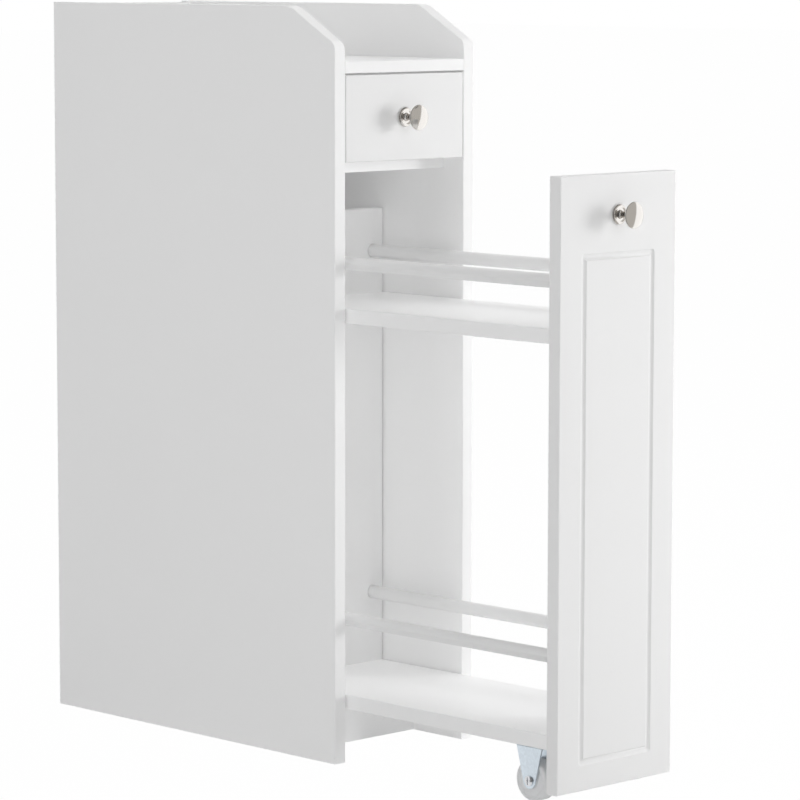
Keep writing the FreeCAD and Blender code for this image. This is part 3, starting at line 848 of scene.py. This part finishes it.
class CABINET_OT_boards(bpy.types.Operator):
    """Lacquered boards of the case, the trolley and the drawer"""

    bl_idname = "cabinet.boards"
    bl_label = "Boards"

    def execute(self, context):
        for node in CASE_BOARDS:
            board(node, "case")
        for node in TROLLEY_BOARDS:
            board(node, "trolley")
        door_board("door_panel", "trolley")
        board("drawer_front", "drawer", "white_front")
        for node in DRAWER_BOARDS:
            board(node, "drawer")
        return {"FINISHED"}


class CABINET_OT_rails(bpy.types.Operator):
    """Guard rails of the trolley, as tubes let into the door and the rear board"""

    bl_idname = "cabinet.rails"
    bl_label = "Guard rails"

    def execute(self, context):
        tree = rail_tree()
        for node in RAILS:
            make_rail(node, tree)
        return {"FINISHED"}


class CABINET_OT_knobs(bpy.types.Operator):
    """Polished knobs and their rosettes on the door and the drawer"""

    bl_idname = "cabinet.knobs"
    bl_label = "Knobs"

    def execute(self, context):
        sizes = context.scene.cabinet_sizes
        for prefix, body in (("door", "trolley"), ("drawer", "drawer")):
            for ending, outline in (("_knob", self.knob), ("_knob_rosette", self.rosette)):
                node = prefix + ending
                low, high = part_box(node)
                centre = Vector(((low.x + high.x) / 2, high.y, (low.z + high.z) / 2))
                line = outline((high.x - low.x) / 2, high.y - low.y, sizes)
                dress(
                    node, "_polished", body, "polished_nickel", turned(line, centre, FRONT),
                    even=False)
        return {"FINISHED"}

    def knob(self, cap, tall, sizes):
        """A knob's outline: a waisted neck, and a cap with a round rim and a low dome."""
        rim = sizes.cap_rim_round
        rim_at = tall - CAP_HEIGHT
        neck = curve_through((*KNOB_NECK, (rim_at - rim, cap - rim)), 8)
        rounding = arc((rim_at, cap - rim), rim, 170, 10, 16)
        edge_distance, edge_radius = rounding[-1]
        rise = tall - edge_distance
        ball = (edge_radius ** 2 + rise ** 2) / (2 * rise)
        half = math.degrees(math.asin(edge_radius / ball))
        return [(0.0, 0.0), *neck, *rounding, *arc((tall - ball, 0), ball, half, 0, 24)[1:]]

    def rosette(self, outer, tall, sizes):
        """A rosette's outline: a low disc with a raised ring about its dished middle."""
        bead = sizes.rosette_bead
        dish = tall - ROSETTE_DISH
        side = [(0.0, ROSETTE_HOLE), (0.0, outer - 0.0002), (0.0002, outer), (0.0011, outer)]
        return side + curve_through(
            (
                (0.0014, outer - 0.0001), (0.0019, outer - 0.0006),
                (tall - 0.0001, outer - 0.0013), (tall, outer - 0.0018),
                (tall - bead * 0.4, outer - 0.0028), (tall - bead, outer - 0.0038),
                (dish, 0.0049), (dish, ROSETTE_HOLE),
            ),
            5)


class CABINET_OT_brackets(bpy.types.Operator):
    """Pressed steel brackets of the casters"""

    bl_idname = "cabinet.brackets"
    bl_label = "Caster brackets"

    def execute(self, context):
        edge = context.scene.cabinet_sizes.bracket_edge
        for place in CASTERS:
            node = "caster_bracket_" + place
            dress(node, "_pressed", "trolley", "galvanised_steel", merged(node), edge=edge)
        return {"FINISHED"}


class CABINET_OT_wheels(bpy.types.Operator):
    """Moulded wheels of the casters"""

    bl_idname = "cabinet.wheels"
    bl_label = "Caster wheels"

    def execute(self, context):
        for place in CASTERS:
            self.wheel("caster_wheel_" + place, "wheel_" + place)
        return {"FINISHED"}

    def wheel(self, node, body):
        """A wheel with a hub, a thin web and a rounded tread."""
        low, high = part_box(node)
        tread = (high.z - low.z) / 2
        hub = (high.x - low.x) / 2
        side = WHEEL_HALF_RIM
        lip = bpy.context.scene.cabinet_sizes.wheel_tread_round
        half = [
            (hub - 0.0004, WHEEL_BORE), (hub, WHEEL_BORE + 0.0004), (hub, 0.0062),
            (hub - 0.0003, 0.0067), (hub - 0.0012, 0.0070), (side - 0.0008, 0.0073),
            (side - 0.0010, 0.0080), (side - 0.0010, 0.0150), (side - 0.0008, 0.0157),
            (side - 0.0002, 0.0163), (side, 0.0169),
            *arc((side - lip, tread - lip), lip, 0, 90, 9),
        ]
        mirrored = [(-distance, radius) for distance, radius in reversed(half)]
        bm = turned(half + mirrored, (low + high) / 2, RIGHT)
        dress(node, "_moulded", body, "grey_wheel", bm, even=False)


class CABINET_OT_fasteners(bpy.types.Operator):
    """Screws, bolts, nuts and cams that hold the boards, knobs and casters"""

    bl_idname = "cabinet.fasteners"
    bl_label = "Fasteners"

    def execute(self, context):
        self.screws()
        self.axles()
        self.cam_bolts()
        self.cams()
        return {"FINISHED"}

    def zinc(self, node, body, axis, line, inputs):
        fastenings(node, body, "zinc_fastener", line, axis, inputs)

    def cams(self):
        for prefix, body, _ in JOINERY:
            node = prefix + "_cams"
            dress(
                node, "_cast", body, "zinc_fastener", merged(node), edge=CAM_EDGE, segments=2)

    def screws(self):
        for node, body, axis, head, height, shank, sunk in (
            ("back_panel_screws", "case", BACK, 0.0060, 0.0015, 0.0030, False),
            ("caster_screws", "trolley", UP, 0.0066, 0.0018, 0.0035, False),
            ("door_knob_screw", "trolley", BACK, 0.0080, 0.0024, 0.0040, False),
            ("drawer_knob_screw", "drawer", BACK, 0.0080, 0.0024, 0.0040, False),
            ("rear_board_screws", "trolley", UP, 0.0076, 0.0024, 0.0040, True),
            ("drawer_screws", "drawer", RIGHT, 0.0076, 0.0024, 0.0040, True),
        ):
            line = screw_outline(head, height, shank, reach_of(node, axis), sunk)
            self.zinc(node, body, axis, line, {
                "Has Recess": True, "Recess Length": head * 0.58, "Cross Length": head * 0.58,
                "Recess Depth": height * 0.6})

    def axles(self):
        """The wheels' axle bolts, with a domed slotted head, and their nuts."""
        node = "caster_axle_bolts"
        reach = reach_of(node, RIGHT)
        head = 0.0053
        shank = 0.0030
        dome = (
            (0.0, 0.30), (0.00012, 0.58), (0.00040, 0.80), (0.00085, 0.94), (0.00140, 1),
            (0.00230, 1), (0.00250, 0.97),
        )
        line = [
            *((depth, head * share) for depth, share in dome),
            (0.00252, shank), (reach - 0.0065, shank),
            *thread(reach - 0.0062, reach - THREAD_END, 0.0027, shank, 0.0008),
            (reach - 0.0003, 0.0026), (reach, 0.0022),
        ]
        self.zinc(node, "trolley", RIGHT, line, {
            "Points": 32, "Has Recess": True, "Recess Length": 0.0074, "Cross Length": 0.0013,
            "Recess Width": 0.0013, "Recess Depth": 0.0011})
        node = "caster_axle_nuts"
        tall = reach_of(node, RIGHT)
        wide = 0.0100 / math.sqrt(3)
        bevel = 0.0004
        line = [(0.0, wide * 0.93), (bevel, wide), (tall - bevel, wide), (tall, wide * 0.93)]
        self.zinc(
            node, "trolley", RIGHT, line, {"Points": 3, "Has Bore": True, "Bore": 0.0061})

    def cam_bolts(self):
        """Bolts with a head that a cam grips, a collar and a thread."""
        for prefix, body, axis in JOINERY:
            node = prefix + "_cam_bolts"
            reach = reach_of(node, axis)
            line = [
                (0.0, 0.0023), (0.0004, 0.0028), (0.0024, 0.0028), (0.0026, 0.0024),
                (0.00262, 0.0018), (reach - 0.0120, 0.0018), (reach - 0.01198, 0.0030),
                (reach - 0.0111, 0.0030), (reach - 0.01108, 0.0024),
                *thread(reach - 0.0108, reach - THREAD_END, 0.0019, 0.0025, 0.0012),
                (reach, 0.0012),
            ]
            self.zinc(node, body, axis, line, {})


class CABINET_OT_dowels(bpy.types.Operator):
    """Fluted beech dowels that line the boards up"""

    bl_idname = "cabinet.dowels"
    bl_label = "Dowels"

    def execute(self, context):
        end_round = 0.0008
        for prefix, body, axis in JOINERY:
            node = prefix + "_dowels"
            reach = reach_of(node, axis)
            line = [
                (0.0, 0.0024), (end_round, 0.0030), (reach - end_round, 0.0030), (reach, 0.0024)]
            fastenings(node, body, "dowel_wood", line, axis, {"Points": 20, "Valley": 0.93})
        return {"FINISHED"}


class CABINET_OT_stage(bpy.types.Operator):
    """Floor, soft light and camera"""

    bl_idname = "cabinet.stage"
    bl_label = "Stage"

    def execute(self, context):
        self.floor(context)
        self.world(context)
        self.lamps(context)
        self.cards(context)
        self.camera(context)
        context.scene.view_settings.view_transform = "Standard"
        return {"FINISHED"}

    def show_white(self, tree, lit, white, share, output):
        """Camera, mirror and glass rays see a share of white in place of the lit surface."""
        path = add_node(tree, "ShaderNodeLightPath")
        seen = math_node(tree, "MAXIMUM", path["Is Camera Ray"], path["Is Glossy Ray"])
        seen = math_node(tree, "MAXIMUM", seen, path["Is Transmission Ray"])
        mix = add_node(tree, "ShaderNodeMixShader", {
            "Fac": math_node(tree, "MULTIPLY", seen, share), 1: lit, 2: white})
        tree.links.new(mix[0], tree.nodes[output].inputs["Surface"])

    def floor(self, context):
        half = FLOOR_HALF
        mesh = bpy.data.meshes.new("floor")
        corners = [(-half, -half, 0), (half, -half, 0), (half, half, 0), (-half, half, 0)]
        mesh.from_pydata(corners, [], [(0, 1, 2, 3)])
        floor = new_object("floor", mesh)
        material = bpy.data.materials.new("pale_floor")
        material.use_nodes = True
        tree = material.node_tree
        shader = tree.nodes["Principled BSDF"]
        shader.inputs["Base Color"].default_value = (FLOOR_GREY, FLOOR_GREY, FLOOR_GREY, 1)
        shader.inputs["Roughness"].default_value = 0.9
        shader.inputs["Specular IOR Level"].default_value = 0
        white = add_node(tree, "ShaderNodeEmission")
        share = context.scene.cabinet_stage.floor_white
        self.show_white(tree, shader.outputs[0], white[0], share, "Material Output")
        mesh.materials.append(material)

    def world(self, context):
        """Light that fades from overhead to the horizon, and a white background."""
        world = bpy.data.worlds.new("studio")
        context.scene.world = world
        world.use_nodes = True
        tree = world.node_tree
        room = tree.nodes["Background"]
        room.inputs["Color"].default_value = (1, 1, 1, 1)
        place = add_node(tree, "ShaderNodeTexCoord")["Generated"]
        upward = add_node(tree, "ShaderNodeSeparateXYZ", {0: place})["Z"]
        ambient = context.scene.cabinet_stage.ambient
        strength = math_node(tree, "MULTIPLY", upward, ambient, use_clamp=True)
        tree.links.new(strength, room.inputs["Strength"])
        white = add_node(tree, "ShaderNodeBackground", {"Color": (1, 1, 1, 1), "Strength": 1.0})
        self.show_white(tree, room.outputs[0], white[0], 1.0, "World Output")

    def toward(self, turn, rise):
        """The direction at a turn from the front towards the right and a rise."""
        return Vector((
            math.sin(turn) * math.cos(rise), -math.cos(turn) * math.cos(rise), math.sin(rise)))

    def lamp(self, name, direction, distance, wide, tall, brightness):
        """A soft lamp whose brightness is what it adds to a white surface that faces it."""
        data = bpy.data.lights.new(name, "AREA")
        data.shape = "RECTANGLE"
        data.size = wide
        data.size_y = tall
        data.energy = brightness * math.pi ** 2 * distance ** 2
        data.use_shadow = not name.endswith("fill")
        lamp = new_object(name, data)
        lamp.location = LAMP_TARGET + direction * distance
        lamp.rotation_euler = direction.to_track_quat("Z", "Y").to_euler()
        lamp.visible_glossy = False

    def lamps(self, context):
        stage = context.scene.cabinet_stage
        toward_key = self.toward(stage.key_turn, stage.key_rise)
        self.lamp("soft_box", toward_key, 2.8, 0.9, 1.0, stage.key)
        for name, turn, rise, distance, wide, brightness in (
            ("side_light", -95, 10, 4.0, 3.0, stage.side),
            ("right_light", 95, 62, 3.2, 1.8, stage.right),
            ("left_fill", -90, 12, 4.0, 2.0, stage.left),
            ("front_fill", 0, 12, 3.5, 2.0, stage.front),
            ("top_fill", 0, 76, 3.0, 2.0, stage.top),
        ):
            toward = self.toward(math.radians(turn), math.radians(rise))
            self.lamp(name, toward, distance, wide, wide, brightness)

    def cards(self, context):
        """Papers around the cabinet that are seen only in the polished metal."""
        stage = context.scene.cabinet_stage
        grey = stage.card
        white = (1.0, 1.0, 1.0)
        for name, start, end, low, high, radius, brightness, tint in (
            ("grey_card", -24, 98, -85, 52, 3.7, grey, (1.0, 0.97, 0.92)),
            ("camera_card", -90, -23, -75, 46, 3.7, grey * 0.18, white),
            ("ceiling_card", -105, 128, 46, 89, 3.6, grey * 0.25, (1.0, 0.98, 0.95)),
            ("side_card", 98, 128, -60, 75, 3.5, grey * 0.12, white),
        ):
            rows = [
                [self.toward(math.radians(turn), math.radians(rise)) for turn in spaced(start, end)]
                for rise in spaced(low, high, 120)
            ]
            self.card(name, rows, radius, 0.002, brightness, tint)
        centre = self.toward(stage.reflector_turn, stage.reflector_rise)
        out = centre.orthogonal().normalized()
        rows = []
        for tilt in spaced(0, stage.reflector_reach):
            tilted = centre * math.cos(tilt) + out * math.sin(tilt)
            rows.append([Quaternion(centre, turn) @ tilted for turn in spaced(0, 2 * math.pi)])
        self.card("reflector", rows, 3.4, 0.004, stage.reflector, white)

    def card(self, name, rows, radius, above_floor, brightness, tint):
        """A sheet through rows of directions from the knobs, bent where it meets the floor."""
        bm = bmesh.new()
        sheet = []
        for row in rows:
            points = []
            for direction in row:
                reach = radius
                if direction.z < 0:
                    reach = min(radius, (KNOBS_MIDDLE.z - above_floor) / -direction.z)
                points.append(bm.verts.new(KNOBS_MIDDLE + direction * reach))
            sheet.append(points)
        for first, second in zip(sheet, sheet[1:]):
            join_rows(bm, first, second)
        bmesh.ops.remove_doubles(bm, verts=bm.verts, dist=SLACK)
        card = new_object(name, plain_mesh(name, bm))
        material = bpy.data.materials.new(name + "_paper")
        material.use_nodes = True
        tree = material.node_tree
        paper = add_node(
            tree, "ShaderNodeEmission", {"Color": (*tint, 1), "Strength": brightness})
        tree.links.new(paper[0], tree.nodes["Material Output"].inputs["Surface"])
        card.data.materials.append(material)
        card.visible_camera = False
        card.visible_diffuse = False
        card.visible_shadow = False
        card.visible_transmission = False
        card.visible_volume_scatter = False

    def camera(self, context):
        data = bpy.data.cameras.new("camera")
        data.sensor_width = 36.0
        data.lens = context.scene.cabinet_stage.lens
        data.clip_end = 2 * FLOOR_HALF
        ahead = Vector((
            math.sin(CAMERA_YAW) * math.cos(CAMERA_PITCH),
            math.cos(CAMERA_YAW) * math.cos(CAMERA_PITCH),
            -math.sin(CAMERA_PITCH)))
        side = Vector((math.cos(CAMERA_YAW), -math.sin(CAMERA_YAW), 0))
        above = side.cross(ahead)
        level_side = side * math.cos(CAMERA_ROLL) + above * math.sin(CAMERA_ROLL)
        level_above = above * math.cos(CAMERA_ROLL) - side * math.sin(CAMERA_ROLL)
        turn = Matrix((level_side, level_above, -ahead)).transposed().to_4x4()
        camera = new_object("camera", data)
        camera.matrix_world = Matrix.Translation(CAMERA_PLACE) @ turn
        context.scene.camera = camera


class CABINET_PT_panel(bpy.types.Panel):
    """The cabinet's pieces, finishes and stage"""

    bl_idname = "CABINET_PT_panel"
    bl_label = "Narrow Rolling Cabinet"
    bl_space_type = "VIEW_3D"
    bl_region_type = "UI"
    bl_category = "Cabinet"

    def draw(self, context):
        layout = self.layout
        for operator in OPERATORS:
            layout.operator(operator.bl_idname)
        for name, group in GROUPS.items():
            box = layout.box()
            for setting in group.__annotations__:
                box.prop(getattr(context.scene, name), setting)


GROUPS = {
    "cabinet_finishes": CabinetFinishes,
    "cabinet_sizes": CabinetSizes,
    "cabinet_stage": CabinetStage,
}
OPERATORS = (
    CABINET_OT_boards,
    CABINET_OT_rails,
    CABINET_OT_knobs,
    CABINET_OT_brackets,
    CABINET_OT_wheels,
    CABINET_OT_fasteners,
    CABINET_OT_dowels,
    CABINET_OT_stage,
)
CLASSES = (*GROUPS.values(), *OPERATORS, CABINET_PT_panel)


def register():
    for kind in CLASSES:
        bpy.utils.register_class(kind)
    for name, group in GROUPS.items():
        setattr(bpy.types.Scene, name, PointerProperty(type=group))


def unregister():
    for name in GROUPS:
        delattr(bpy.types.Scene, name)
    for kind in reversed(CLASSES):
        bpy.utils.unregister_class(kind)


def main():
    register()
    for operator in OPERATORS:
        family, action = operator.bl_idname.split(".")
        getattr(getattr(bpy.ops, family), action)()


if __name__ == "__main__":
    main()
